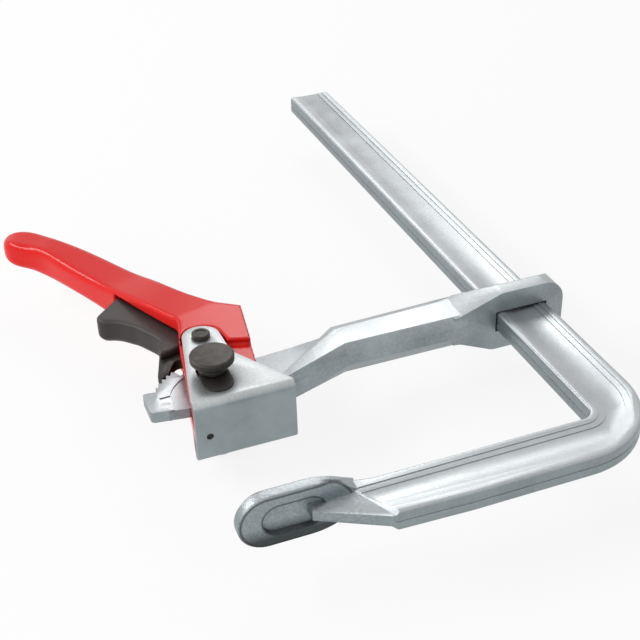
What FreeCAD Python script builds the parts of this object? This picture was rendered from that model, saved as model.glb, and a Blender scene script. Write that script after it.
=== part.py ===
import FreeCAD, Part
import math
import os

os.makedirs("parts", exist_ok=True)

# Lever-operated bar clamp lying flat, in millimetres. +X is the opening direction along the rail,
# +Y runs from the rail out to the jaw tips, +Z is up. The origin is the middle of the pressure
# face of the fixed jaw.

# Rail and fixed arm
RAIL_W = 22.0
RAIL_T = 8.4
RAIL_NEAR_Y = -117.0
RAIL_FAR_Y = RAIL_NEAR_Y - RAIL_W
RAIL_END_X = 311.0
ARM_IN_X = -2.5
ARM_W = RAIL_W - 1.6
ARM_OUT_X = ARM_IN_X - ARM_W
ARM_TIP_OUT_X = ARM_OUT_X + 1.1
ARM_TIP_Y = -32.0
ARM_TAPER_Y = -60.0
ARM_NOSE_Y = -23.2
TIP_CHAMFER = 1.6
SEAM_DEPTH = 0.2
SEAM_HALF_W = 0.25
BEND_IN_R = 5.0
BEND_OUT_R = 34.0
EDGE_R = 1.2
# Sunk panels on the wide faces: distance in from the edge, depth
PANEL_STEPS = [(3.4, 0.3), (5.9, 0.6)]

# Fixed jaw pad
PAD_T = 6.3
PAD_HALF_H = 10.5
PAD_END_Y = 16.3
PAD_ROOT_Y = -26.0
PAD_RIM = 2.2
PAD_HOLLOW = 1.8
PROW_NOSE = (-8.6, -8.4)

# Sliding arm
SLIDE_CLEAR = 0.35
EYE_FRONT_X = 69.5
EYE_BACK_X = 84.0
EYE_WEB = 7.5
EYE_HALF_H = 13.0
ARM_HALF_H = 6.7
LIMB_FRONT_X = 68.0
TANG_HALF_T = 2.3

# Ratchet
PIVOT = (64.6, 1.9)
TOOTH_TIP_R = 22.9
TOOTH_DEPTH = 1.1
TOOTH_PITCH_DEG = 7.0
TOOTH_COUNT = 5
TOOTH_START_DEG = 27.0
HUB_R = 18.6
STOP_GAP = 0.4

# Lever
LEVER_PIN = (88.3, -0.5)
HEAD_HALF_H = 12.3
CHEEK_HALF_H = 9.9
FORK_HALF_H = TANG_HALF_T + 0.4
POCKET_HALF_H = 6.45
FORK_R = 28.6
# Handle sections: point on the finger edge, point on the back edge, half height, corner radius
GRIP_STATIONS = [
    ((105.8, 5.2), (110.4, -13.6), HEAD_HALF_H, 0.7),
    ((113.8, 9.2), (119.4, -7.4), 11.7, 1.0),
    ((125.1, 14.4), (132.4, -0.8), 10.6, 1.6),
    ((137.8, 19.8), (145.5, 4.1), 8.5, 2.2),
    ((151.0, 25.2), (158.2, 9.5), 6.6, 2.6),
    ((162.2, 30.4), (169.5, 14.8), 6.2, 3.0),
    ((176.2, 36.8), (183.0, 22.1), 6.3, 3.2),
    ((188.6, 42.6), (197.3, 31.6), 6.7, 3.2),
    ((197.6, 49.4), (209.3, 39.8), 6.1, 3.2),
    ((203.2, 54.6), (215.4, 47.0), 5.8, 3.2),
    ((206.6, 56.4), (216.6, 51.2), 5.0, 3.4),
    ((209.8, 56.6), (215.4, 54.0), 3.8, 2.5),
]

# Pressure shoe
SHOE_FACE_X = 46.3
SHOE_HALF_H = 12.7
SHEET_T = 2.3
SHOE_Y0 = -23.3
SHOE_Y1 = 14.6
SHOE_BEND_R = 3.1
SHOE_TIP_R = 7.3
SLOT_R = 5.6
SLOT_FRONT = (57.1, 2.3)
FLANGE_GAP = 0.5
SWIVEL_ROOM = 1.0

# Pins and fasteners
RUN_CLEAR = 0.05
BODY_GAP = 0.3
BOLT_R = 4.2
BUSH_WALL = 2.0
THREAD_R = 3.9
KNOB_R = 8.2
KNOB_TOP_Z = 20.3
KNOB_RIM = 2.4
RIVET_R = 2.5
RIVET_HEAD_R = 3.5
RIVET_HEAD_H = 1.5
WASHER_T = 1.5
NUT_AF = 13.0
NUT_H = 6.5

# Trigger
TRIGGER_HALF_H = 5.4
PAWL_HALF_T = 2.2
PAWL_HUB_R = 4.4
PAWL_GAP = 0.4
TRIGGER_REACH = 57.3
WIRE_R = 0.4
COIL_R = 4.3
COIL_PITCH = 1.25
COIL_TURNS = 2
LEG_DEG = -48.0


def vec(x, y, z=0.0):
    return FreeCAD.Vector(x, y, z)


def box(x0, x1, y0, y1, z0, z1):
    return Part.makeBox(x1 - x0, y1 - y0, z1 - z0, vec(x0, y0, z0))


def cyl(xy, r, z0, z1):
    return Part.makeCylinder(r, z1 - z0, vec(xy[0], xy[1], z0))


def cone(xy, r0, r1, z0, z1):
    return Part.makeCone(r0, r1, z1 - z0, vec(xy[0], xy[1], z0))


def polar(centre, r, deg):
    a = math.radians(deg)
    return (centre[0] + r * math.cos(a), centre[1] + r * math.sin(a))


def loop(corners):
    """Closed wire through (x, y, corner radius), rounded by true arcs."""
    n = len(corners)
    ends = []
    for i in range(n):
        p = vec(corners[i][0], corners[i][1])
        r = corners[i][2] if len(corners[i]) > 2 else 0.0
        if r == 0.0:
            ends.append((p, None, p))
            continue
        a = (vec(corners[i - 1][0], corners[i - 1][1]) - p).normalize()
        b = (vec(corners[(i + 1) % n][0], corners[(i + 1) % n][1]) - p).normalize()
        half = a.getAngle(b) / 2.0
        run = r / math.tan(half)
        mid = (a + b).normalize() * (r / math.sin(half) - r)
        ends.append((p + a * run, p + mid, p + b * run))
    edges = []
    for i in range(n):
        start, mid, stop = ends[i]
        if mid is not None:
            edges.append(Part.Arc(start, mid, stop).toShape())
        nxt = ends[(i + 1) % n][0]
        if (nxt - stop).Length > 1e-6:
            edges.append(Part.makeLine(stop, nxt))
    return Part.Wire(edges)


def plan(corners, z0, z1):
    """Prism of a plan outline between two heights."""
    face = Part.Face(loop(corners))
    face.translate(vec(0, 0, z0))
    return face.extrude(vec(0, 0, z1 - z0))


def along_x(corners, x0, x1):
    """Prism of a (y, z) outline between two x values."""
    face = Part.Face(loop(corners))
    turn = FreeCAD.Placement(vec(x0, 0, 0), FreeCAD.Rotation(vec(0, 1, 0), vec(0, 0, 1), vec(1, 0, 0), "XYZ"))
    face.Placement = turn
    return face.extrude(vec(x1 - x0, 0, 0))


def sloped(corners0, x0, corners1, x1):
    """Solid between two (y, z) outlines of the same kind at two x values."""
    rings = []
    for corners, x in ((corners0, x0), (corners1, x1)):
        ring = loop(corners)
        ring.Placement = FreeCAD.Placement(vec(x, 0, 0), FreeCAD.Rotation(vec(0, 1, 0), vec(0, 0, 1), vec(1, 0, 0), "XYZ"))
        rings.append(ring)
    return Part.makeLoft(rings, True, True)


def along_y(corners, y0, y1):
    """Prism of an (x, z) outline between two y values."""
    face = Part.Face(loop(corners))
    face.rotate(vec(0, 0, 0), vec(1, 0, 0), 90)
    face.translate(vec(0, y1, 0))
    return face.extrude(vec(0, y0 - y1, 0))


def hull(points):
    """Convex solid through a short list of points."""
    pts = [vec(*p) for p in points]
    faces = []
    done = []
    n = len(pts)
    for i in range(n):
        for j in range(i + 1, n):
            for k in range(j + 1, n):
                normal = (pts[j] - pts[i]).cross(pts[k] - pts[i])
                if normal.Length < 1e-6:
                    continue
                normal.normalize()
                side = [(p - pts[i]).dot(normal) for p in pts]
                if min(side) < -1e-5 and max(side) > 1e-5:
                    continue
                if max(side) > 1e-5:
                    normal = normal * -1
                flat = [m for m in range(n) if abs(side[m]) <= 1e-5]
                if flat in done:
                    continue
                done.append(flat)
                mid = vec(0, 0, 0)
                for m in flat:
                    mid = mid + pts[m]
                mid = mid * (1.0 / len(flat))
                u = (pts[flat[0]] - mid).normalize()
                w = normal.cross(u)
                order = sorted(flat, key=lambda m: math.atan2((pts[m] - mid).dot(w), (pts[m] - mid).dot(u)))
                ring = [pts[m] for m in order]
                faces.append(Part.Face(Part.makePolygon(ring + [ring[0]])))
    shell = Part.makeShell(faces)
    solid = Part.makeSolid(shell)
    if solid.Volume < 0:
        solid.reverse()
    return solid


def mirrored(points):
    """The given (x, y, z) points and their twins below the mid plane."""
    return points + [(x, y, -z) for x, y, z in points]


def bow_outline():
    """Plan outline of rail, bend and fixed arm up to the slanting end behind the pad."""
    return [
        (RAIL_END_X, RAIL_FAR_Y, 2.0),
        (RAIL_END_X, RAIL_NEAR_Y, 2.0),
        (ARM_IN_X, RAIL_NEAR_Y, BEND_IN_R),
        (ARM_IN_X, ARM_TIP_Y, 20.0),
        (-0.7, ARM_NOSE_Y, 0.0),
        (-PAD_T, ARM_NOSE_Y, 0.0),
        (ARM_TIP_OUT_X, ARM_TIP_Y, 1.0),
        (ARM_OUT_X, ARM_TAPER_Y, 60.0),
        (ARM_OUT_X, RAIL_FAR_Y, BEND_OUT_R),
    ]


def bow_panel(inset, depth):
    """Sunk panel on both wide faces of the bar, its border inset from the outline."""
    half = RAIL_T / 2
    open_y = ARM_NOSE_Y + 8.0
    outline = [
        (RAIL_END_X + 9.0, RAIL_FAR_Y + inset, 0.0),
        (RAIL_END_X + 9.0, RAIL_NEAR_Y - inset, 0.0),
        (ARM_IN_X - inset, RAIL_NEAR_Y - inset, BEND_IN_R + inset),
        (ARM_IN_X - inset, open_y, 0.0),
        (ARM_TIP_OUT_X + inset, open_y, 0.0),
        (ARM_TIP_OUT_X + inset, ARM_TIP_Y, 10.0),
        (ARM_OUT_X + inset, ARM_TAPER_Y, 60.0),
        (ARM_OUT_X + inset, RAIL_FAR_Y + inset, BEND_OUT_R - inset),
    ]
    return plan(outline, half - depth, half + 1).fuse(plan(outline, -half - 1, -half + depth))


def tip_chamfer():
    """Wedges that slope both edges of the slanting arm end."""
    half = RAIL_T / 2
    run = vec(-PAD_T - ARM_TIP_OUT_X, ARM_NOSE_Y - ARM_TIP_Y)
    along = vec(run.x, run.y).normalize()
    out = vec(-along.y, along.x)
    start = vec(ARM_TIP_OUT_X, ARM_TIP_Y) - along * 3
    over = 1.0
    corner = [(-TIP_CHAMFER - over, half + over), (over + half, half + over), (over + half, half - TIP_CHAMFER - over - half)]
    points = [start + out * a + vec(0, 0, z) for a, z in corner]
    wedge = Part.Face(Part.makePolygon(points + points[:1])).extrude(along * (run.Length + 3))
    return wedge.fuse(wedge.mirror(vec(0, 0, 0), vec(0, 0, 1)))


def seam():
    """Shallow forging seam round the narrow sides of the bar."""
    band = plan(bow_outline(), -SEAM_HALF_W, SEAM_HALF_W)
    core = Part.Face(loop(bow_outline())).makeOffset2D(-SEAM_DEPTH)
    core.translate(vec(0, 0, -RAIL_T))
    return band.cut(core.extrude(vec(0, 0, 2 * RAIL_T)))


def bow():
    """Rail, bend and fixed arm with its forged oval pad: one bent and forged bar."""
    half = RAIL_T / 2
    bar = plan(bow_outline(), -half, half)
    rims = [e for e in bar.Edges if e.BoundBox.ZLength < 1e-6]
    bar = bar.makeFillet(EDGE_R, rims).cut(tip_chamfer()).cut(seam())
    for inset, depth in PANEL_STEPS:
        bar = bar.cut(bow_panel(inset, depth))
    return bar.fuse(pad()).fuse(prow())


def pad():
    """Oval forged pad with chamfered rims and an oval hollow in its back."""
    def oval(shrink):
        h = PAD_HALF_H - shrink
        tip = PAD_END_Y - shrink
        half = [(tip, h, h - 0.05), (-14.0, h, 25.0), (-21.5, h - 3.3, 12.0), (PAD_ROOT_Y, 3.6, 0.0)]
        return half + [(y, -z, r) for y, z, r in reversed(half)]
    disc = along_x(oval(0.0), -PAD_T + 0.7, -PAD_RIM)
    disc = disc.fuse(sloped(oval(0.0), -PAD_RIM, oval(0.8 * PAD_RIM), 0.0))
    disc = disc.fuse(sloped(oval(0.0), -PAD_T + 0.7, oval(0.7), -PAD_T))
    hollow = [(7.8, 5.8, 5.7), (-14.0, 5.8, 5.7), (-14.0, -5.8, 5.7), (7.8, -5.8, 5.7)]
    return disc.cut(along_x(hollow, -PAD_T - 1, -PAD_T + PAD_HOLLOW))


def prow():
    """Wedge that carries the fixed arm out in a blunt nose on the back of the pad."""
    h = RAIL_T / 2
    fx, fy = PROW_NOSE
    return hull(mirrored([
        (fx, fy, 1.9), (-PAD_T + 1.6, fy, 1.9), (-PAD_T, ARM_NOSE_Y, h - 0.9), (-PAD_T + 3, ARM_NOSE_Y, h - 0.9),
        (ARM_TIP_OUT_X + 0.3, ARM_TIP_Y - 0.2, 2.2), (ARM_TIP_OUT_X + 1.2, ARM_TIP_Y - 0.6, h - 1.4),
        (-PAD_T, ARM_TIP_Y - 0.6, h - 1.4),
    ]))


def limb_ring(y, x0, x1, h):
    """Eight-sided section of the forged arm at one y."""
    return [
        (x0 + 2.5, y, h), (x0, y, h * 0.33), (x0, y, -h * 0.33), (x0 + 2.5, y, -h),
        (x1 - 4.0, y, -h), (x1, y, -h + 1.5), (x1, y, h - 1.5), (x1 - 4.0, y, h),
    ]


def eye():
    """Loop of the sliding arm around the rail, with its slot."""
    far = RAIL_FAR_Y - SLIDE_CLEAR - EYE_WEB
    side = [
        (far, EYE_HALF_H, 8.8), (-119.0, EYE_HALF_H, 6.0), (-100.5, ARM_HALF_H - 0.3, 8.0),
        (-98.0, ARM_HALF_H - 0.3, 0.0), (-98.0, -ARM_HALF_H + 0.3, 0.0),
        (-100.5, -ARM_HALF_H + 0.3, 8.0), (-115.5, -EYE_HALF_H, 6.0), (far, -EYE_HALF_H, 8.8),
    ]
    slope = [
        (EYE_FRONT_X, EYE_HALF_H), (EYE_FRONT_X, -EYE_HALF_H), (EYE_FRONT_X + 6.4, -EYE_HALF_H),
        (EYE_BACK_X, -7.6), (EYE_BACK_X, 7.6), (EYE_FRONT_X + 6.4, EYE_HALF_H),
    ]
    block = along_x(side, EYE_FRONT_X, EYE_BACK_X).common(along_y(slope, far - 1, -97.0))
    slot_h = RAIL_T / 2 + SLIDE_CLEAR
    slot = box(EYE_FRONT_X - 3, EYE_BACK_X + 3, RAIL_FAR_Y - SLIDE_CLEAR, RAIL_NEAR_Y + SLIDE_CLEAR,
               -slot_h, slot_h)
    return block, slot


def tang():
    """Flat ratchet plate at the end of the sliding arm: hub, teeth and stop."""
    t = TANG_HALF_T
    root = TOOTH_TIP_R - TOOTH_DEPTH
    px, py = PIVOT
    neck = plan([(74.0, -58.0), (85.0, -56.0), (82.0, -33.0, 20.0), (80.8, -19.0, 6.0), (80.6, -8.0, 6.0),
                 (px + 4, py, 0.0), (53.5, -9.5, 6.0), (62.0, -34.0, 0.0)], -t, t)
    plate = cyl(PIVOT, HUB_R, -t, t)
    keep = [(px, py), polar(PIVOT, 60, -200), polar(PIVOT, 80, -100), polar(PIVOT, 60, -40),
            polar(PIVOT, 40, 0), polar(PIVOT, 40, 60), polar(PIVOT, 60, 100)]
    plate = plate.common(plan(keep, -t, t)).common(box(53.5, 120, -60, 60, -t, t)).fuse(neck)
    end = TOOTH_START_DEG + TOOTH_COUNT * TOOTH_PITCH_DEG
    sector = [PIVOT]
    for i in range(TOOTH_COUNT):
        a = TOOTH_START_DEG + i * TOOTH_PITCH_DEG
        sector.append(polar(PIVOT, root, a + 0.6))
        sector.append(polar(PIVOT, TOOTH_TIP_R, a + 1.6))
        sector.append(polar(PIVOT, TOOTH_TIP_R, a + 2.9))
        sector.append(polar(PIVOT, root, a + TOOTH_PITCH_DEG - 0.6))
    sector.append(polar(PIVOT, root, end + 1.0))
    plate = plate.fuse(plan([(x, y) for x, y in sector], -t, t))
    stop = plan([(60.6, 6.0), (60.6, 13.0, 6.0), (62.6, 26.8, 1.8), (75.2, 26.8, 1.0),
                 polar(PIVOT, root - 0.4, end + 0.6), (px + 4, py)], -t, t)
    plate = plate.fuse(stop)
    pocket = cyl(PIVOT, 16.6, t - 0.4, t + 1).fuse(box(66.0, 70.3, 10, 21.6, t - 0.4, t + 1))
    plate = plate.cut(pocket.common(box(56, 90, 8.0, 40, -20, 20)))
    return plate


def sliding_arm():
    """Forged sliding arm: eye on the rail, thick limb, wedge and flat ratchet tang."""
    block, slot = eye()
    limb = hull(limb_ring(-104.0, LIMB_FRONT_X, 87.0, ARM_HALF_H)
                + limb_ring(-52.0, LIMB_FRONT_X, 85.2, ARM_HALF_H))
    wedge = hull(limb_ring(-52.0, LIMB_FRONT_X, 85.2, ARM_HALF_H)
                 + mirrored([(58.6, -24.0, 1.6), (59.8, -24.0, 5.8), (62.6, -24.0, 5.8), (64.0, -24.5, 1.6),
                             (68.0, -31.0, 5.9)]))
    arm = block.fuse(limb).fuse(wedge).fuse(tang()).cut(slot)
    arm = arm.cut(cyl(PIVOT, BOLT_R, -20, 20))
    return arm.removeSplitter()


def head_outline():
    """Plan outline of the lever head, its nose an arc about the lever rivet."""
    cx, cy = LEVER_PIN
    nose_r = cx - SHOE_FACE_X - SHEET_T - FLANGE_GAP
    low = vec(cx - math.sqrt(nose_r ** 2 - 12.6 ** 2), cy - 12.6)
    high = vec(cx - math.sqrt(nose_r ** 2 - 14.4 ** 2), cy + 14.4)
    near, far = GRIP_STATIONS[0][0], GRIP_STATIONS[0][1]
    corners = [low, vec(77.0, -17.2), vec(104.4, -21.6), vec(*far), vec(*near), vec(102.4, 4.8),
               vec(86.0, 8.7), high]
    edges = [Part.makeLine(p, q) for p, q in zip(corners, corners[1:])]
    edges.append(Part.Arc(high, vec(cx - nose_r, cy), low).toShape())
    return Part.Wire(edges)


def grip_section(near, far, half, r):
    """Upright rounded section of the handle between a point of each edge."""
    side = vec(far[0] - near[0], far[1] - near[1])
    width = side.Length
    wire = loop([(0.0, -half, r), (width, -half, r), (width, half, r), (0.0, half, r)])
    yaw = math.degrees(math.atan2(side.y, side.x))
    turn = FreeCAD.Rotation(vec(0, 0, 1), yaw).multiply(FreeCAD.Rotation(vec(1, 0, 0), 90))
    wire.Placement = FreeCAD.Placement(vec(near[0], near[1], 0), turn)
    return wire


def lever():
    """Red lever: a fork around the tang that carries on as the handle."""
    blank = Part.Face(head_outline())
    blank.translate(vec(0, 0, -HEAD_HALF_H))
    body = blank.extrude(vec(0, 0, 2 * HEAD_HALF_H))
    body = body.fuse(Part.makeLoft([grip_section(*row) for row in GRIP_STATIONS], True, False))
    shoe_room = plan([(30, -40), (76.6, -40), (80.2, -17.6), (83.0, -9.2, 0.8), (88.3, -8.5, 0.0),
                      (LEVER_PIN[0], LEVER_PIN[1]), (90.4, 7.3), (87.7, 6.9, 0.8), (88.8, 12.0), (89.8, 24),
                      (30, 40)], CHEEK_HALF_H, 30)
    shoe_room = shoe_room.fuse(cyl(LEVER_PIN, SHOE_TIP_R + 0.6, CHEEK_HALF_H, 30))
    body = body.cut(shoe_room).cut(shoe_room.mirror(vec(0, 0, 0), vec(0, 0, 1)))
    fork = cyl(PIVOT, FORK_R, -FORK_HALF_H, FORK_HALF_H).fuse(
        box(20, 76, -40, 40, -FORK_HALF_H, FORK_HALF_H))
    body = body.cut(fork).cut(trigger_pocket())
    body = body.cut(cyl(PIVOT, BOLT_R + BUSH_WALL, -20, 20))
    body = body.cut(cyl(LEVER_PIN, RIVET_R, -20, 20))
    return body.removeSplitter()


def trigger_pocket():
    """Room inside the lever for hub, pawl and trigger, open towards the fingers."""
    h = POCKET_HALF_H
    reach = TRIGGER_REACH + 0.7
    room = plan([(79.0, -3.0, 3.0), (88.0, -9.5, 5.0), (97.0, -8.0, 6.0), (112.0, -2.0, 10.0),
                 (130.0, 4.2, 10.0), (150.0, 10.0), (150.0, 50.0), (70.0, 50.0), (70.0, 10.0)], -h, h)
    return room.common(cyl(LEVER_PIN, reach, -h, h))


def trigger_plan():
    """Outline of the moulded trigger: end face, finger face in front, back edge in the pocket."""
    def far(share, deg, r):
        return polar(LEVER_PIN, share * TRIGGER_REACH, deg) + (r,)
    return [(94.0, 15.0, 0.6), (94.6, 10.2, 1.5), (97.2, 1.6, 3.0), (104.0, 2.2, 6.0), far(0.4663, 15.86, 12.0),
            far(0.7318, 18.78, 20.0), far(1.0, 21.3, 0.8), far(0.915, 42.6, 4.0), far(0.7599, 36.50, 10.0),
            far(0.6018, 34.84, 14.0), (108.2, 14.5, 5.0), (103.2, 12.4, 4.0), (98.2, 14.4, 1.0)]


def pawl_plan():
    """Outline of the pawl plate: hub on the rivet, nose on the teeth, tongue in the trigger."""
    r_in = TOOTH_TIP_R + PAWL_GAP
    return [(91.8, -2.6, 0.0), (98.5, 4.0, 4.0), (112.0, 8.4, 1.0), (111.0, 11.0, 1.0), (99.5, 9.0, 2.0),
            (96.6, 14.6, 2.0), polar(PIVOT, 25.6, 40.5) + (0.5,), polar(PIVOT, r_in + 0.02, 41.2) + (0.4,),
            polar(PIVOT, r_in + 0.02, 35.0) + (0.4,), polar(PIVOT, r_in + 0.2, 31.5) + (0.6,),
            (92.4, 9.4, 3.0), (89.4, 3.0, 1.0), (84.9, 1.6, 0.0)]


def pawl():
    """Steel pawl plate turning on the lever rivet."""
    t = PAWL_HALF_T
    plate = plan(pawl_plan(), -t, t).fuse(cyl(LEVER_PIN, PAWL_HUB_R, -t, t))
    return plate.cut(cyl(LEVER_PIN, RIVET_R + RUN_CLEAR, -t - 1, t + 1)).removeSplitter()


def trigger():
    """Moulded trigger, hollowed for the tongue of the pawl plate and its spring leg."""
    h = TRIGGER_HALF_H
    body = plan(trigger_plan(), -h + 2.2, h - 0.6)
    for inset, low in ((0.6, 1.1), (1.6, 0.0)):
        layer = Part.Face(loop(trigger_plan())).makeOffset2D(-inset)
        layer.translate(vec(0, 0, -h + low))
        body = body.fuse(layer.extrude(vec(0, 0, 2 * h - low - (0.0 if low else 1.0))))
    room = plan(pawl_plan(), -PAWL_HALF_T, PAWL_HALF_T)
    body = body.cut(room)
    leg = leg_line(1)
    groove = Part.makeCylinder(WIRE_R + 0.15, leg[1], leg[0], leg[2])
    return body.cut(groove)


def coil_ends():
    """Start and end height of the coil centre line."""
    z0 = PAWL_HALF_T + BODY_GAP + WIRE_R
    return z0, z0 + COIL_PITCH * COIL_TURNS


def leg_line(which):
    """Start, length and direction of a straight spring leg: 0 on the lever, 1 on the trigger."""
    x, y = polar(LEVER_PIN, COIL_R, LEG_DEG)
    a = math.radians(LEG_DEG)
    lead = vec(-math.sin(a), math.cos(a), 0)
    if which == 1:
        return vec(x, y, coil_ends()[0]), 9.0, lead
    return vec(x, y, coil_ends()[1]), 6.0, lead


def spring():
    """Torsion spring: one unbroken wire, two straight legs and a coil of tilted half turns."""
    foot, run0, lead = leg_line(1)
    head, run1, lead = leg_line(0)
    axis = vec(LEVER_PIN[0], LEVER_PIN[1])
    z0 = coil_ends()[0]
    spoke = vec(foot.x, foot.y) - axis
    path = [Part.makeLine(foot + lead * run0, foot)]
    for k in range(2 * COIL_TURNS):
        side = 1 if k % 2 == 0 else -1
        low = axis + spoke * side + vec(0, 0, z0 + COIL_PITCH * k / 2)
        high = axis - spoke * side + vec(0, 0, z0 + COIL_PITCH * (k + 1) / 2)
        reach = (high - low).Length / 2
        path.append(Part.Arc(low, (low + high) * 0.5 - lead * (reach * side), high).toShape())
    path.append(Part.makeLine(head, head - lead * run1))
    ring = Part.Wire(Part.makeCircle(WIRE_R, foot + lead * run0, lead))
    print("spring least gap to itself %.2f mm" % (COIL_PITCH - 2 * WIRE_R))
    return Part.Wire(path).makePipeShell([ring], True, False)


def shoe():
    """Bent sheet pressure shoe: face plate and two tapering flanges."""
    x0 = SHOE_FACE_X
    h = SHOE_HALF_H
    t = SHEET_T
    r = SHOE_BEND_R
    section = [(x0, h, r), (x0, -h, r), (140, -h, 0.0), (140, -h + t, 0.0), (x0 + t, -h + t, r - t),
               (x0 + t, h - t, r - t), (140, h - t, 0.0), (140, h, 0.0)]
    bent = along_y(section, SHOE_Y0, SHOE_Y1)
    tip = LEVER_PIN
    flange = plan([(x0 - 1, SHOE_Y0), (49.5, SHOE_Y0, 1.0), (74.6, -8.1, 4.0), polar(tip, SHOE_TIP_R, -92),
                   tip, polar(tip, SHOE_TIP_R, 78), (50.4, SHOE_Y1, 1.0), (x0 - 1, SHOE_Y1)], -h, h)
    flange = flange.fuse(cyl(tip, SHOE_TIP_R, -h, h))
    body = bent.common(flange)
    slot = slot_outline(SLOT_R, PIVOT[0] + 1.4, -30, 30)
    body = body.cut(slot).cut(cyl(tip, RIVET_R + RUN_CLEAR, -30, 30))
    gauge_hole = Part.makeCylinder(1.3, 10, vec(x0 - 5, 9.6, -1.8), vec(1, 0, 0))
    return body.cut(gauge_hole).removeSplitter()


def slot_outline(r, rear_x, z0, z1):
    """Oblong prism along the slot in the shoe flanges."""
    fx, fy = SLOT_FRONT
    body = cyl(SLOT_FRONT, r, z0, z1).fuse(cyl((rear_x, fy), r, z0, z1))
    return body.fuse(box(fx, rear_x, fy - r, fy + r, z0, z1))


def slot_liner(side):
    """Black liner in the front of one flange slot, standing a little proud."""
    z0 = SHOE_HALF_H - SHEET_T
    z1 = SHOE_HALF_H + 0.7
    body = slot_outline(SLOT_R, SLOT_FRONT[0] + 4.9, z0, z1)
    body = body.cut(cyl(PIVOT, BOLT_R + SWIVEL_ROOM, z0 - 1, z1 + 1)).cut(box(PIVOT[0] - 1.5, 90, -20, 20, z0, z1))
    return body if side > 0 else body.mirror(vec(0, 0, 0), vec(0, 0, 1))


def main_bolt():
    """Pivot bolt: mushroom head, plain neck through shoe, lever and tang, threaded end."""
    top = KNOB_TOP_Z
    rim_low = top - KNOB_RIM
    low = -SHOE_HALF_H - 1.0
    body = cyl(PIVOT, BOLT_R, low, rim_low - 3.4)
    body = body.fuse(cone(PIVOT, BOLT_R, KNOB_R, rim_low - 3.4, rim_low))
    body = body.fuse(cyl(PIVOT, KNOB_R, rim_low, top - 0.5))
    body = body.fuse(cone(PIVOT, KNOB_R, KNOB_R - 0.7, top - 0.5, top))
    end = low - WASHER_T - NUT_H - 1.6
    body = body.fuse(cyl(PIVOT, THREAD_R, end + 0.8, low)).fuse(cone(PIVOT, THREAD_R - 0.8, THREAD_R, end, end + 0.8))
    return body.removeSplitter()


def washer():
    """Flat washer under the lock nut, against the shoulder of the bolt."""
    top = -SHOE_HALF_H - 1.0
    return cyl(PIVOT, 7.4, top - WASHER_T, top).cut(cyl(PIVOT, THREAD_R, top - 5, top + 1))


def lock_nut():
    """Hexagon lock nut with a domed collar that holds the locking ring."""
    top = -SHOE_HALF_H - 1.0 - WASHER_T
    flat_r = NUT_AF / 2
    corner = flat_r / math.cos(math.radians(30))
    body = plan([polar(PIVOT, corner, 60 * k) for k in range(6)], top - 5.0, top)
    dome = cone(PIVOT, corner - 0.9, corner + 0.1, top - 5.0, top - 4.0).fuse(cyl(PIVOT, corner + 0.1, top - 4.0, top))
    body = body.common(dome)
    body = body.fuse(cyl(PIVOT, flat_r - 0.7, top - NUT_H, top - 5.0))
    body = body.cut(cyl(PIVOT, THREAD_R, top - 20, top + 1))
    return body.cut(cyl(PIVOT, flat_r - 1.5, top - NUT_H + 0.5, top - NUT_H + 2.3)).removeSplitter()


def lock_ring():
    """Nylon ring inside the collar of the lock nut."""
    low = -SHOE_HALF_H - 1.0 - WASHER_T - NUT_H + 0.5
    return cyl(PIVOT, NUT_AF / 2 - 1.5, low, low + 1.8).cut(cyl(PIVOT, THREAD_R, low - 1, low + 3))


def bush(side):
    """Bearing bush pressed into one cheek of the lever."""
    z0 = FORK_HALF_H
    z1 = CHEEK_HALF_H
    body = cyl(PIVOT, BOLT_R + BUSH_WALL, z0, z1).cut(cyl(PIVOT, BOLT_R + RUN_CLEAR, z0 - 1, z1 + 1))
    return body if side > 0 else body.mirror(vec(0, 0, 0), vec(0, 0, 1))


def rivet():
    """Lever rivet: carries the shoe tips outside and the pawl inside."""
    seat = SHOE_HALF_H + BODY_GAP
    body = cyl(LEVER_PIN, RIVET_R, -seat, seat)
    for side in (1, -1):
        head = cyl(LEVER_PIN, RIVET_HEAD_R, seat, seat + RIVET_HEAD_H - 0.3)
        head = head.fuse(cone(LEVER_PIN, RIVET_HEAD_R, RIVET_HEAD_R - 0.5, seat + RIVET_HEAD_H - 0.3,
                              seat + RIVET_HEAD_H))
        head = head.cut(cyl(LEVER_PIN, RIVET_R - 0.4, seat + RIVET_HEAD_H - 0.3, seat + RIVET_HEAD_H + 1))
        body = body.fuse(head if side > 0 else head.mirror(vec(0, 0, 0), vec(0, 0, 1)))
    return body.removeSplitter()


def spacer(side):
    """Sleeve on the rivet between the pawl hub and one cheek."""
    z0 = PAWL_HALF_T + BODY_GAP
    z1 = POCKET_HALF_H
    outer = 3.3 if side > 0 else 4.2
    body = cyl(LEVER_PIN, outer, z0, z1).cut(cyl(LEVER_PIN, RIVET_R, z0 - 1, z1 + 1))
    return body if side > 0 else body.mirror(vec(0, 0, 0), vec(0, 0, 1))


def joined(shapes):
    """Several separate solids of one node."""
    return Part.makeCompound(shapes)


def save(name, shape):
    solids = shape.Solids
    total = sum(s.Volume for s in solids)
    print("%-18s solids %d volume %.1f valid %s" % (name, len(solids), total, shape.isValid()))
    shape.exportStep("parts/%s.step" % name)


save("bow", bow())
save("sliding_arm", sliding_arm())
save("lever", lever())
save("pressure_shoe", shoe())
save("slot_liners", joined([slot_liner(1), slot_liner(-1)]))
save("pivot_bolt", main_bolt())
save("bolt_washer", washer())
save("lock_nut", lock_nut())
save("lock_ring", lock_ring())
save("pivot_bushes", joined([bush(1), bush(-1)]))
save("lever_rivet", rivet())
save("spacer_upper", spacer(1))
save("spacer_lower", spacer(-1))
save("trigger", trigger())
save("pawl", pawl())
save("trigger_spring", spring())
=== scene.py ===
import math

import bpy
from mathutils import Matrix, Vector


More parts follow.
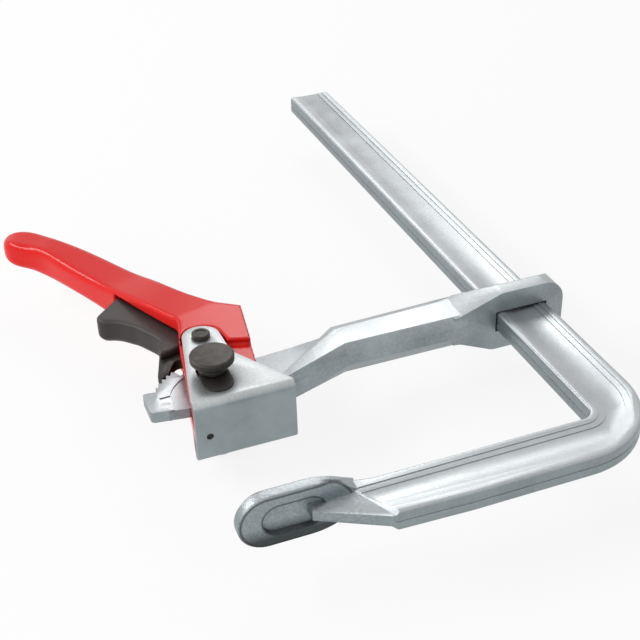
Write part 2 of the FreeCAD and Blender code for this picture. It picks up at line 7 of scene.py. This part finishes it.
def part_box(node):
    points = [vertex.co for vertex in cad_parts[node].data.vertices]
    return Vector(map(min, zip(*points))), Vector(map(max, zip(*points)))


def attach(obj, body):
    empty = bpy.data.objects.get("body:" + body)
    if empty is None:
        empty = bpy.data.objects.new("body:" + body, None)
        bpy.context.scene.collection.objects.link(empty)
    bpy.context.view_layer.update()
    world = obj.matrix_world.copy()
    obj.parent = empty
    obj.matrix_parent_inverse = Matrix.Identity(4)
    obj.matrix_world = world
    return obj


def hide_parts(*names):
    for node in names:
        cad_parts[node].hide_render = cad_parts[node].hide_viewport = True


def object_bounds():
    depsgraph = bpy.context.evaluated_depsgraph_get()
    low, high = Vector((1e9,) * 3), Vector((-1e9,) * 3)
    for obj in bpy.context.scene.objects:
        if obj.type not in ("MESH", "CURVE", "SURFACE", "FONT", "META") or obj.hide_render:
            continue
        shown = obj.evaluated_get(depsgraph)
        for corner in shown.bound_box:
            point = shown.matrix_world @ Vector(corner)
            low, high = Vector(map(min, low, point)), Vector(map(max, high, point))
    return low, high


bl_info = {
    "name": "Lever Bar Clamp",
    "version": (1, 0, 0),
    "blender": (4, 5, 0),
    "location": "View3D > Sidebar > Clamp",
    "description": "Dresses a bar clamp with a ratcheting lever in plated steel, red enamel and plastic",
    "category": "Object",
}

MM = 0.001
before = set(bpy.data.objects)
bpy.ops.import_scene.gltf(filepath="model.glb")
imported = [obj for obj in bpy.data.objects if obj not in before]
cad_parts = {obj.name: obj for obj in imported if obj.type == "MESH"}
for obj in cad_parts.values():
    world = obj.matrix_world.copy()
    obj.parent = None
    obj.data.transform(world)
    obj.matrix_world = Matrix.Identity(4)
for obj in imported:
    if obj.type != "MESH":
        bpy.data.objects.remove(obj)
cad_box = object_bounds()

# Axis of the bolt, and middle of the plug in the shoe face, in millimetres. The plug stands for a pin, and
# its dark plastic is also painted shade that keeps the hole dark.
PIVOT = (64.6, 1.9)
FACE_HOLE = (47.9, 9.6, -1.8)
PIN_SHADE_PLUG_RADIUS = 1.25
PIN_SHADE_PLUG_DEPTH = 1.6
# Rings of the bolt neck above the slot liner, in millimetres: from, to, radius
NECK_RINGS = ((0.3, 2.1, 5.4), (2.1, 2.7, 4.7), (2.7, 3.6, 5.6))
# Painted crease shade on the back of the pad, as dark lines, in millimetres: middle, reach from it to the
# round ends, radius
PAD_RIM_SHADE_LINE = (-4.1, 9.9, 9.6)
PAD_HOLLOW_SHADE_LINE = (-3.1, 5.1, 6.0)
PAD_SHADE_LINE_WIDTH = 0.7
# Forged skin of the pad, which also carries the pad's painted shade: the axis that it rises along, then
# from and to in metres
PAD_SKIN = (1, -0.030, -0.022)
# Where painted shade darkens the pad downwards, and between which depths its painted crease shade lines
# lie, in metres
PAD_SHADE_Z = (-0.001, -0.007)
PAD_BACK_X = (-0.0035, -0.0045)
PAD_WEDGE_X = (-0.0068, -0.0064)

# Angles above which an edge is rounded or stays sharp, in degrees
BAR_CREASE = 28
ARM_CREASE = 20
SHEET_CREASE = 35
BOLT_CREASE = 30
CAST_SMOOTH = 60
FORGED_SMOOTH = 30

# Cast skins: voxel in metres, passes of smoothing
LEVER_SKIN = (0.55 * MM, 6)
TRIGGER_SKIN = (0.4 * MM, 26)
# Rounding of small pieces, in metres
LINER_EDGE = 0.3 * MM
PAWL_EDGE = 0.2 * MM
BOLT_EDGE = 0.35 * MM

# Lamps: place, width and height in metres, then watts
LAMPS = {
    "key_lamp": ((0.50, 0.80, 0.72), 0.90, 0.16, 6.5),
    "fill_lamp": ((-0.50, 0.75, 0.50), 0.60, 0.60, 3.5),
    "rim_lamp": ((1.02, -0.40, 0.76), 0.42, 0.42, 2.6),
}
LAMP_AIM = (0.1, -0.05, 0.0)
FLOOR_SIZE = 6.0
FLOOR_PLACE = (0.2, -0.05)
FLOOR_GAP = 0.2 * MM

# Camera, worked out from the perspective of the rail and the arm, with its place in millimetres
CAMERA_PLACE = (-288.97, 89.69, 268.16)
CAMERA_RIGHT = (-0.361260, -0.932050, -0.027818)
CAMERA_UP = (0.499142, -0.218493, 0.838522)
CAMERA_BACK = (-0.787622, 0.289039, 0.544158)
CAMERA_LENS = 68.66
# Strength of the sky as a light, and share of the floor that shows as plain white
SKY_LEVEL = 0.42
FLOOR_WHITE = 0.85


class ClampColours(bpy.types.PropertyGroup):
    enamel: bpy.props.FloatVectorProperty(
        name="Lever", description="Enamel of the lever", subtype="COLOR", size=3,
        default=(0.70, 0.010, 0.007))
    plating: bpy.props.FloatVectorProperty(
        name="Plating", description="Zinc plating of bar and arm", subtype="COLOR", size=3,
        default=(0.40, 0.42, 0.43))
    sheet: bpy.props.FloatVectorProperty(
        name="Shoe", description="Zinc plating of the bent shoe", subtype="COLOR", size=3,
        default=(0.40, 0.415, 0.42))
    moulding: bpy.props.FloatVectorProperty(
        name="Trigger", description="Plastic of the trigger", subtype="COLOR", size=3,
        default=(0.022, 0.015, 0.014))
    oxide: bpy.props.FloatVectorProperty(
        name="Bolt", description="Black finish of the pivot bolt", subtype="COLOR", size=3,
        default=(0.030, 0.026, 0.022))
    floor: bpy.props.FloatVectorProperty(
        name="Floor", description="Colour of the floor", subtype="COLOR", size=3,
        default=(0.93, 0.93, 0.93))


class ClampFinish(bpy.types.PropertyGroup):
    edge: bpy.props.FloatProperty(
        name="Edge", description="Rounding of bar edges", subtype="DISTANCE", default=0.4 * MM, min=0.0)
    sheet_edge: bpy.props.FloatProperty(
        name="Sheet edge", description="Rounding of cut sheet edges", subtype="DISTANCE",
        default=0.22 * MM, min=0.0)
    forging_grain: bpy.props.FloatProperty(
        name="Forging grain", description="Depth of the skin left by forging",
        default=0.25, min=0.0, max=1.0)


class Value:
    """One output socket, with the arithmetic that the materials use."""

    def __init__(self, net, socket):
        self.net = net
        self.socket = socket

    def _math(self, operation, *others):
        return self.net.node("ShaderNodeMath", {"operation": operation}, *([self] + list(others)))

    def __add__(self, other):
        return self._math("ADD", other)

    __radd__ = __add__

    def __mul__(self, other):
        return self._math("MULTIPLY", other)

    __rmul__ = __mul__

    def __sub__(self, other):
        return self._math("SUBTRACT", other)

    def __rsub__(self, other):
        return self.net.node("ShaderNodeMath", {"operation": "SUBTRACT"}, other, self)

    def clamp(self):
        return self.net.node("ShaderNodeClamp", {}, self)


class Net:
    """The node tree of one material."""

    def __init__(self, name):
        self.material = bpy.data.materials.new(name)
        self.material.use_nodes = True
        self.tree = self.material.node_tree
        self.shader = self.tree.nodes["Principled BSDF"]
        self.place = Value(self, self.tree.nodes.new("ShaderNodeTexCoord").outputs["Object"])

    def node(self, kind, settings, *inputs, out=0, **named):
        made = self.tree.nodes.new(kind)
        for key, value in settings.items():
            setattr(made, key, value)
        for i, value in enumerate(inputs):
            self._feed(made.inputs[i], value)
        for key, value in named.items():
            self._feed(made.inputs[key.replace("_", " ")], value)
        return Value(self, made.outputs[out])

    def _feed(self, socket, value):
        if isinstance(value, Value):
            self.tree.links.new(value.socket, socket)
        else:
            socket.default_value = value

    def noise(self, scale, detail=3.0, rough=0.5):
        return self.node("ShaderNodeTexNoise", {}, Vector=self.place, Scale=scale, Detail=detail,
                         Roughness=rough)

    def axis(self, number):
        return self.node("ShaderNodeSeparateXYZ", {}, self.place, out=number)

    def flatness(self):
        """How far the surface faces straight up or down on the piece, from 0 to 1."""
        normal = Value(self, self.place.socket.node.outputs["Normal"])
        up = self.node("ShaderNodeSeparateXYZ", {}, normal, out=2)
        return self.node("ShaderNodeMath", {"operation": "ABSOLUTE"}, up)

    def along(self, axis, start, end):
        """Rises from 0 to 1 between two places on an axis of the piece."""
        return self.node("ShaderNodeMapRange", {}, self.axis(axis), start, end)

    def outline(self, middle, reach, radius):
        """Distance in millimetres from a round-ended slot shape in the YZ plane."""
        y = self.axis(1) * (1.0 / MM)
        z = self.axis(2) * (1.0 / MM)
        beyond = self.node("ShaderNodeMath", {"operation": "ABSOLUTE"}, y - middle) - reach
        beyond = self.node("ShaderNodeMath", {"operation": "MAXIMUM"}, beyond, 0.0)
        return self.node("ShaderNodeMath", {"operation": "SQRT"}, beyond * beyond + z * z) - radius

    def line(self, distance, width):
        """1 on an outline, falling to 0 at a width from it."""
        off = self.node("ShaderNodeMath", {"operation": "ABSOLUTE"}, distance)
        return (1.0 - off * (1.0 / width)).clamp()

    def ramp(self, value, *stops):
        """Grey ramp through two stops, each a place and a level."""
        made = self.node("ShaderNodeValToRGB", {}, value)
        for stop, (at, level) in zip(made.socket.node.color_ramp.elements, stops):
            stop.position = at
            stop.color = (level, level, level, 1.0)
        return made

    def mix(self, factor, a, b):
        made = self.tree.nodes.new("ShaderNodeMix")
        made.data_type = "RGBA"
        self._feed(made.inputs[0], factor)
        self._feed(made.inputs[6], a)
        self._feed(made.inputs[7], b)
        return Value(self, made.outputs[2])

    def bump(self, height, strength, distance):
        return self.node("ShaderNodeBump", {}, Strength=strength, Distance=distance, Height=height)

    def set(self, **sockets):
        for key, value in sockets.items():
            self._feed(self.shader.inputs[key.replace("_", " ")], value)
        return self.material


def open_view(tree):
    """Factor that is 1 for rays that show the background: seen, mirrored or let through."""
    rays = tree.nodes.new("ShaderNodeLightPath")
    either = rays.outputs["Is Camera Ray"]
    for ray in ("Is Glossy Ray", "Is Transmission Ray"):
        larger = tree.nodes.new("ShaderNodeMath")
        larger.operation = "MAXIMUM"
        tree.links.new(either, larger.inputs[0])
        tree.links.new(rays.outputs[ray], larger.inputs[1])
        either = larger.outputs[0]
    return either


def studio_world():
    """Even soft light that the camera and polished pieces see as plain white."""
    world = bpy.data.worlds.new("studio")
    world.use_nodes = True
    tree = world.node_tree
    background = tree.nodes["Background"]
    background.inputs["Color"].default_value = (1.0, 1.0, 1.0, 1.0)
    level = tree.nodes.new("ShaderNodeMapRange")
    level.inputs["To Min"].default_value = SKY_LEVEL
    tree.links.new(open_view(tree), level.inputs["Value"])
    tree.links.new(level.outputs["Result"], background.inputs["Strength"])
    return world


def floor_paper(colour):
    """White paper that keeps a soft part of the shadow."""
    net = Net("floor_paper")
    grain = net.noise(40.0, 2.0)
    net.set(Base_Color=net.mix(grain, rgb(colour, 0.995), rgb(colour)), Roughness=0.8)
    tree = net.tree
    share = Value(net, open_view(tree)) * FLOOR_WHITE
    glow = tree.nodes.new("ShaderNodeEmission")
    both = tree.nodes.new("ShaderNodeMixShader")
    tree.links.new(share.socket, both.inputs[0])
    tree.links.new(net.shader.outputs[0], both.inputs[1])
    tree.links.new(glow.outputs[0], both.inputs[2])
    tree.links.new(both.outputs[0], tree.nodes["Material Output"].inputs["Surface"])
    return net.material


def rgb(colour, level=1.0):
    return (colour[0] * level, colour[1] * level, colour[2] * level, 1.0)


def pad_skin_and_shade(net, skin, side_shade_colour, lit_face_mask, speck, tone):
    """Mottled skin of the forged pad, with painted shade: darker towards the bottom, and painted crease
    shade lines round its outer edge and its recess.
    """
    mottle = net.mix(speck, rgb(side_shade_colour, 0.90), rgb(side_shade_colour, 1.30))
    tone = net.mix(skin * (0.80 - 0.45 * lit_face_mask), tone, mottle)
    # Painted shade: the pad's upright faces darken towards the bottom
    shade_below = net.along(2, *PAD_SHADE_Z) * skin
    tone = net.mix(shade_below * (0.92 - 0.92 * lit_face_mask), tone, rgb(side_shade_colour, 0.15))
    # Painted crease shade: dark lines along the outer edge and the recess on the back of the pad
    rim_crease_shade = net.line(net.outline(*PAD_RIM_SHADE_LINE), PAD_SHADE_LINE_WIDTH)
    hollow_crease_shade = net.line(net.outline(*PAD_HOLLOW_SHADE_LINE), PAD_SHADE_LINE_WIDTH)
    back = net.along(0, *PAD_BACK_X) * net.along(0, *PAD_WEDGE_X)
    return net.mix((rim_crease_shade + hollow_crease_shade).clamp() * back * skin * 0.85, tone, rgb(side_shade_colour, 0.12))


def plated_steel(name, colour, grain=0.25, cloud=0.10, gloss=0.30, side_shade=0.70, sparkle=0.25,
                 side_sparkle=0.15, forged=None):
    """Zinc plating with painted shade: faces turned up or down in a lighter tone, the others in a darker
    one, cloudy tone, over a fine or forged skin.
    """
    net = Net(name)
    # Painted shade: the plating colour, darkened and tinted, for faces that don't turn up or down
    side_shade_colour = (colour[0] * side_shade * 0.91, colour[1] * side_shade, colour[2] * side_shade * 1.02)
    patch = net.ramp(net.noise(55.0, 4.0, rough=0.6), (0.30, 0.0), (0.70, 1.0))
    fine = net.noise(1200.0, 3.0)
    pebble = net.noise(420.0, 3.0, rough=0.55)
    speck = net.ramp(net.noise(950.0, 3.0, rough=0.7), (0.38, 0.0), (0.68, 1.0))
    # Painted shade: faces turned up or down take the lighter tone, all others the darker one
    lit_face_mask = net.ramp(net.flatness(), (0.35, 0.0), (0.85, 1.0))
    bright = net.mix(patch, rgb(colour, 1.0 - cloud), rgb(colour, 1.0 + cloud * 0.6))
    shade = net.mix(patch, rgb(side_shade_colour, 1.0 - cloud * 1.4), rgb(side_shade_colour, 1.0 + cloud))
    tone = net.mix(lit_face_mask, shade, bright)
    spread = side_sparkle + (sparkle - side_sparkle) * lit_face_mask
    tone = net.mix(speck * spread, tone, rgb(colour, 1.3))
    height = pebble * grain + fine * (0.25 * grain)
    rough = gloss + 0.10 * fine + 0.12 * patch
    if forged:
        # The forged zone of the pad also takes painted shade, darker towards the bottom and in its creases
        skin = net.along(*forged)
        tone = pad_skin_and_shade(net, skin, side_shade_colour, lit_face_mask, speck, tone)
        height = height + pebble * skin * 0.7 + speck * skin * 0.4
    return net.set(Base_Color=tone, Metallic=1.0, Roughness=rough, Normal=net.bump(height, 0.35, 0.0004))


def enamel(name, colour):
    """Glossy powder enamel with a faint orange peel."""
    net = Net(name)
    peel = net.noise(420.0, 2.0)
    drift = net.noise(30.0, 2.0)
    tone = net.mix(drift, rgb(colour, 0.93), rgb(colour, 1.05))
    return net.set(Base_Color=tone, Metallic=0.0, Roughness=0.19 + 0.05 * drift, Specular_IOR_Level=0.22,
                   Normal=net.bump(peel, 0.04, 0.0003))


def moulding(name, colour, gloss=0.46):
    """Fine-grained dark moulded plastic."""
    net = Net(name)
    grain = net.noise(1500.0, 2.0)
    drift = net.noise(60.0, 2.0)
    tone = net.mix(drift, rgb(colour, 0.8), rgb(colour, 1.35))
    return net.set(Base_Color=tone, Metallic=0.0, Roughness=gloss + 0.12 * drift,
                   Normal=net.bump(grain, 0.22, 0.0002))


def black_oxide(name, colour):
    """Black oxide on turned steel, a little brown and oily."""
    net = Net(name)
    wear = net.noise(240.0, 4.0, rough=0.65)
    fine = net.noise(1300.0, 2.0)
    tone = net.mix(net.ramp(wear, (0.35, 0.0), (0.75, 1.0)), rgb(colour, 0.85), (0.060, 0.052, 0.046, 1.0))
    return net.set(Base_Color=tone, Metallic=0.55, Roughness=0.36 + 0.16 * fine,
                   Normal=net.bump(wear + fine * 0.4, 0.25, 0.0003))


def nylon(name):
    net = Net(name)
    drift = net.noise(200.0, 2.0)
    tone = net.mix(drift, (0.74, 0.74, 0.70, 1.0), (0.82, 0.82, 0.79, 1.0))
    return net.set(Base_Color=tone, Roughness=0.5 + 0.1 * drift)


def deselect():
    if bpy.context.object and bpy.context.object.mode != "OBJECT":
        bpy.ops.object.mode_set(mode="OBJECT")
    bpy.ops.object.select_all(action="DESELECT")


def activate(piece):
    deselect()
    piece.select_set(True)
    bpy.context.view_layer.objects.active = piece


def solid_copy(node, name, flat_deg=0.6):
    """A merged copy of a CAD node with its flat faces joined up."""
    piece = bpy.data.objects.new(name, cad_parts[node].data.copy())
    bpy.context.scene.collection.objects.link(piece)
    activate(piece)
    piece.data.materials.clear()
    bpy.ops.object.mode_set(mode="EDIT")
    bpy.ops.mesh.select_all(action="SELECT")
    bpy.ops.mesh.customdata_custom_splitnormals_clear()
    bpy.ops.mesh.remove_doubles(threshold=0.002 * MM)
    bpy.ops.mesh.dissolve_limited(angle_limit=math.radians(flat_deg))
    bpy.ops.object.mode_set(mode="OBJECT")
    return piece


def add_turned(piece, centre, radius, height, turned=(0, 0, 0)):
    """Joins a turned disc or ring, given in millimetres, to a piece."""
    deselect()
    bpy.ops.mesh.primitive_cylinder_add(vertices=64, radius=radius * MM, depth=height * MM,
                                        location=[c * MM for c in centre], rotation=turned)
    disc = bpy.context.object
    bpy.ops.object.transform_apply(location=True, rotation=True, scale=True)
    disc.select_set(True)
    piece.select_set(True)
    bpy.context.view_layer.objects.active = piece
    bpy.ops.object.join()


def apply(piece, kind, **settings):
    activate(piece)
    made = piece.modifiers.new(kind.title(), kind)
    for key, value in settings.items():
        setattr(made, key, value)
    bpy.ops.object.modifier_apply(modifier=made.name)


def round_edges(piece, width, crease, segments=2):
    """Rounds every edge that turns by more than the crease angle."""
    apply(piece, "BEVEL", width=width, segments=segments, limit_method="ANGLE",
          angle_limit=math.radians(crease))


def finish(piece, body, material, slot, *nodes, smooth_deg=35.0):
    """Shades a piece, gives it its material, hands it to its body and hides its CAD nodes. The slot is not
    used.
    """
    activate(piece)
    bpy.ops.object.shade_smooth_by_angle(angle=math.radians(smooth_deg))
    piece.data.materials.clear()
    piece.data.materials.append(material)
    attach(piece, body)
    if nodes:
        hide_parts(*nodes)
    return piece


def soften(piece, voxel, passes, factor=0.5):
    """Turns sharp solids into one cast skin with rounded edges."""
    apply(piece, "REMESH", mode="VOXEL", voxel_size=voxel, use_smooth_shade=True)
    apply(piece, "SMOOTH", factor=factor, iterations=passes)


def paint_node(node, material):
    """Gives a CAD node that stays as it is its finish."""
    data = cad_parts[node].data
    data.materials.clear()
    data.materials.append(material)


class CLAMP_OT_bow(bpy.types.Operator):
    """Rail, bend, fixed arm and pad in plated steel"""
    bl_idname = "clamp.bow"
    bl_label = "Bow"

    def execute(self, context):
        scene = context.scene
        steel = plated_steel("bar_plating", scene.clamp_colours.plating,
                             grain=scene.clamp_finish.forging_grain, forged=PAD_SKIN)
        piece = solid_copy("bow", "bow_forging")
        round_edges(piece, scene.clamp_finish.edge, BAR_CREASE)
        finish(piece, "bow", steel, "zinc_plated_bar", "bow", smooth_deg=FORGED_SMOOTH)
        return {"FINISHED"}


class CLAMP_OT_arm(bpy.types.Operator):
    """Sliding arm in forged and plated steel"""
    bl_idname = "clamp.arm"
    bl_label = "Sliding arm"

    def execute(self, context):
        scene = context.scene
        steel = plated_steel("forging_plating", scene.clamp_colours.plating, grain=0.6, cloud=0.16,
                             gloss=0.30, sparkle=0.30, side_sparkle=0.22)
        piece = solid_copy("sliding_arm", "sliding_arm_forging")
        round_edges(piece, scene.clamp_finish.edge * 1.6, ARM_CREASE)
        finish(piece, "slide", steel, "zinc_plated_forging", "sliding_arm", smooth_deg=FORGED_SMOOTH)
        return {"FINISHED"}


class CLAMP_OT_lever(bpy.types.Operator):
    """Lever casting in red enamel"""
    bl_idname = "clamp.lever"
    bl_label = "Lever"

    def execute(self, context):
        red = enamel("lever_enamel", context.scene.clamp_colours.enamel)
        piece = solid_copy("lever", "lever_casting")
        soften(piece, *LEVER_SKIN)
        finish(piece, "lever", red, "red_enamel", "lever", smooth_deg=CAST_SMOOTH)
        return {"FINISHED"}


class CLAMP_OT_shoe(bpy.types.Operator):
    """Bent sheet shoe and its dark slot liners"""
    bl_idname = "clamp.shoe"
    bl_label = "Pressure shoe"

    def execute(self, context):
        scene = context.scene
        sheet = plated_steel("sheet_plating", scene.clamp_colours.sheet, grain=0.22, cloud=0.12, gloss=0.36,
                             side_shade=0.80, sparkle=0.55, side_sparkle=0.0)
        piece = solid_copy("pressure_shoe", "shoe_sheet")
        round_edges(piece, scene.clamp_finish.sheet_edge, SHEET_CREASE)
        finish(piece, "shoe", sheet, "zinc_plated_sheet", "pressure_shoe", smooth_deg=FORGED_SMOOTH)
        dark = moulding("liner_plastic", [c * 0.45 for c in scene.clamp_colours.moulding])
        liner = solid_copy("slot_liners", "slot_liner_pair")
        # The plug in the face hole stands for a pin; its dark plastic is also painted shade for the hole
        add_turned(liner, FACE_HOLE, PIN_SHADE_PLUG_RADIUS, PIN_SHADE_PLUG_DEPTH, turned=(0, math.radians(90), 0))
        round_edges(liner, LINER_EDGE, SHEET_CREASE, segments=3)
        finish(liner, "shoe", dark, "dark_plastic", "slot_liners")
        return {"FINISHED"}


class CLAMP_OT_trigger(bpy.types.Operator):
    """Trigger moulding, pawl plate and spring"""
    bl_idname = "clamp.trigger"
    bl_label = "Trigger and pawl"

    def execute(self, context):
        scene = context.scene
        dark = moulding("trigger_plastic", scene.clamp_colours.moulding)
        piece = solid_copy("trigger", "trigger_moulding")
        soften(piece, *TRIGGER_SKIN)
        finish(piece, "trigger", dark, "dark_plastic", "trigger", smooth_deg=CAST_SMOOTH)
        steel = plated_steel("spring_steel", scene.clamp_colours.sheet, grain=0.10, gloss=0.28)
        black = black_oxide("pawl_oxide", scene.clamp_colours.oxide)
        plate = solid_copy("pawl", "pawl_plate")
        round_edges(plate, PAWL_EDGE, SHEET_CREASE)
        finish(plate, "trigger", black, "black_oxide_steel", "pawl")
        paint_node("trigger_spring", steel)
        return {"FINISHED"}


class CLAMP_OT_hardware(bpy.types.Operator):
    """Pivot bolt, rivet, nut, washer, bushes and spacers"""
    bl_idname = "clamp.hardware"
    bl_label = "Bolt and rivet"

    def execute(self, context):
        scene = context.scene
        black = black_oxide("bolt_oxide", scene.clamp_colours.oxide)
        bolt = solid_copy("pivot_bolt", "pivot_bolt_turned")
        flange_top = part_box("slot_liners")[1][2] / MM
        for low, high, radius in NECK_RINGS:
            add_turned(bolt, (PIVOT[0], PIVOT[1], flange_top + (low + high) / 2), radius, high - low)
        round_edges(bolt, BOLT_EDGE, BOLT_CREASE, segments=3)
        finish(bolt, "slide", black, "black_oxide_steel", "pivot_bolt")
        bright = plated_steel("fastener_steel", scene.clamp_colours.sheet, grain=0.10, gloss=0.22)
        for node in ("bolt_washer", "lock_nut", "spacer_upper", "spacer_lower"):
            paint_node(node, bright)
        # The rivet is black oxide; the bushes get black oxide as painted shade, so that the gap round the
        # bolt neck looks black
        for node in ("lever_rivet", "pivot_bushes"):
            paint_node(node, black)
        paint_node("lock_ring", nylon("ring_nylon"))
        return {"FINISHED"}


class CLAMP_OT_stage(bpy.types.Operator):
    """Pale floor, soft lamps and the camera"""
    bl_idname = "clamp.stage"
    bl_label = "Floor, lamps and camera"

    def execute(self, context):
        scene = context.scene
        deselect()
        low = cad_box[0][2]
        bpy.ops.mesh.primitive_plane_add(size=FLOOR_SIZE, location=(*FLOOR_PLACE, low - FLOOR_GAP))
        floor = context.object
        floor.name = "floor"
        floor.data.materials.append(floor_paper(scene.clamp_colours.floor))
        scene.world = studio_world()
        for name, (place, width, height, power) in LAMPS.items():
            data = bpy.data.lights.new(name, "AREA")
            data.shape = "RECTANGLE"
            data.size = width
            data.size_y = height
            data.energy = power
            lamp = bpy.data.objects.new(name, data)
            aim = Vector(LAMP_AIM) - Vector(place)
            turn = aim.to_track_quat("-Z", "Y").to_matrix().to_4x4()
            lamp.matrix_world = Matrix.Translation(place) @ turn
            scene.collection.objects.link(lamp)
        view = bpy.data.cameras.new("view")
        view.lens = CAMERA_LENS
        view.sensor_width = 36.0
        view.clip_start = 0.01
        camera = bpy.data.objects.new("view", view)
        turn = Matrix((CAMERA_RIGHT, CAMERA_UP, CAMERA_BACK)).transposed().to_4x4()
        camera.matrix_world = Matrix.Translation(Vector(CAMERA_PLACE) * MM) @ turn
        scene.collection.objects.link(camera)
        scene.camera = camera
        scene.view_settings.view_transform = "Standard"
        return {"FINISHED"}


class CLAMP_PT_panel(bpy.types.Panel):
    bl_idname = "CLAMP_PT_panel"
    bl_label = "Bar clamp"
    bl_space_type = "VIEW_3D"
    bl_region_type = "UI"
    bl_category = "Clamp"

    def draw(self, context):
        for name in STEPS:
            self.layout.operator(name)
        for group in (context.scene.clamp_colours, context.scene.clamp_finish):
            for key in group.__annotations__:
                self.layout.prop(group, key)


STEPS = ("clamp.bow", "clamp.arm", "clamp.lever", "clamp.shoe", "clamp.trigger", "clamp.hardware",
         "clamp.stage")
CLASSES = (ClampColours, ClampFinish, CLAMP_OT_bow, CLAMP_OT_arm, CLAMP_OT_lever, CLAMP_OT_shoe,
           CLAMP_OT_trigger, CLAMP_OT_hardware, CLAMP_OT_stage, CLAMP_PT_panel)


def register():
    for item in CLASSES:
        bpy.utils.register_class(item)
    bpy.types.Scene.clamp_colours = bpy.props.PointerProperty(type=ClampColours)
    bpy.types.Scene.clamp_finish = bpy.props.PointerProperty(type=ClampFinish)


def unregister():
    del bpy.types.Scene.clamp_finish
    del bpy.types.Scene.clamp_colours
    for item in reversed(CLASSES):
        bpy.utils.unregister_class(item)


def main():
    """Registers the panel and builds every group."""
    register()
    bpy.ops.clamp.bow()
    bpy.ops.clamp.arm()
    bpy.ops.clamp.lever()
    bpy.ops.clamp.shoe()
    bpy.ops.clamp.trigger()
    bpy.ops.clamp.hardware()
    bpy.ops.clamp.stage()


if __name__ == "__main__":
    main()
